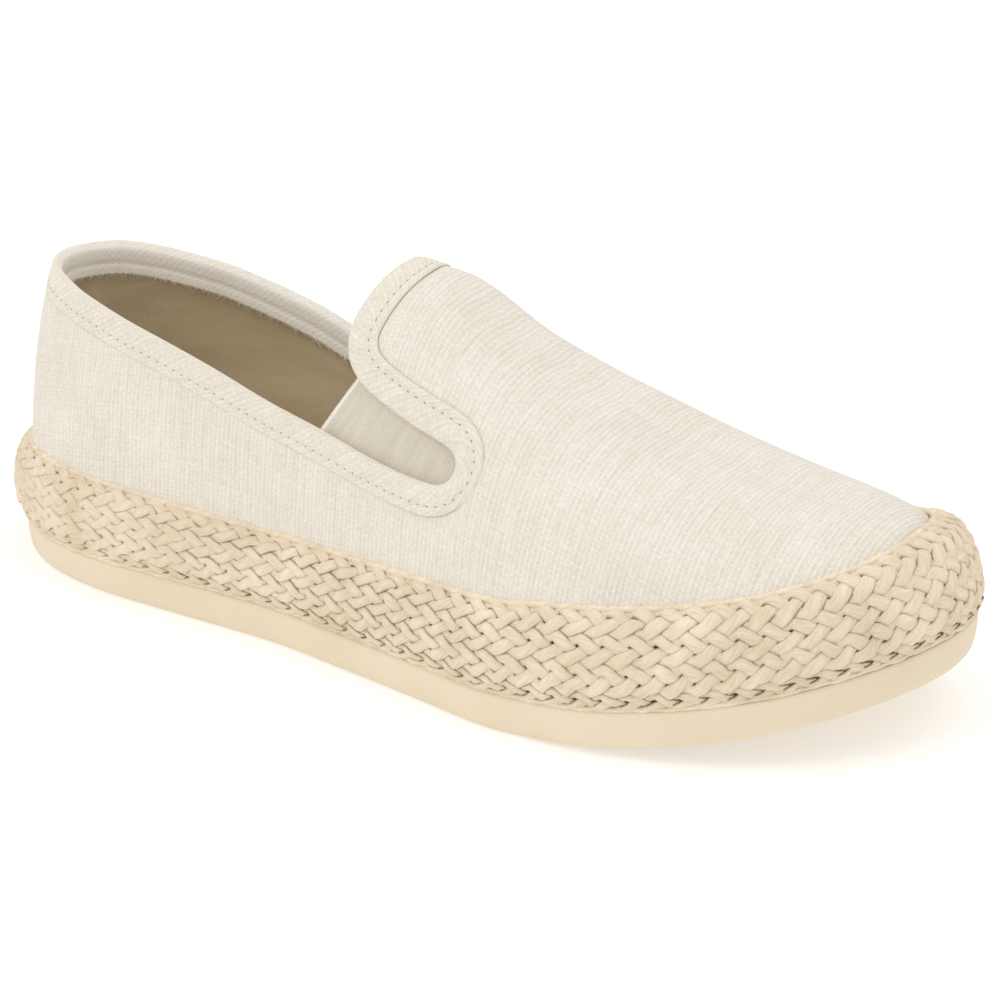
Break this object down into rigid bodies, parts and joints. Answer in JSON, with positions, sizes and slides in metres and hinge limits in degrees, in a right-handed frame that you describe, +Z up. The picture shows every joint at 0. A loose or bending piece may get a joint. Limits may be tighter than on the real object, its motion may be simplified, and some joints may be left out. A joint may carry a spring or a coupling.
{
  "type": "espadrille",
  "caption": "Slip-on espadrille: a hollow linen upper with two elastic gores, on a braided jute sole with a rubber outsole.",
  "frame": {"origin": "on the ground, at the middle of the box around the shoe's outline", "axes": "+X towards the toe, +Y towards the inner side of the foot, +Z up"},
  "size_m": [0.26, 0.095, 0.0909],
  "materials": {
    "linen": "matte slub linen",
    "elastic": "ribbed elastic webbing",
    "lining": "matte cotton lining",
    "jute": "braided jute, matte and fibrous",
    "rubber": "smooth cream crepe rubber"
  },
  "bodies": {
    "root": {"upper": "linen", "gore_outer": "elastic", "gore_inner": "elastic", "insole": "lining", "jute_sole": "jute", "outsole": "rubber"}
  },
  "joints": []
}
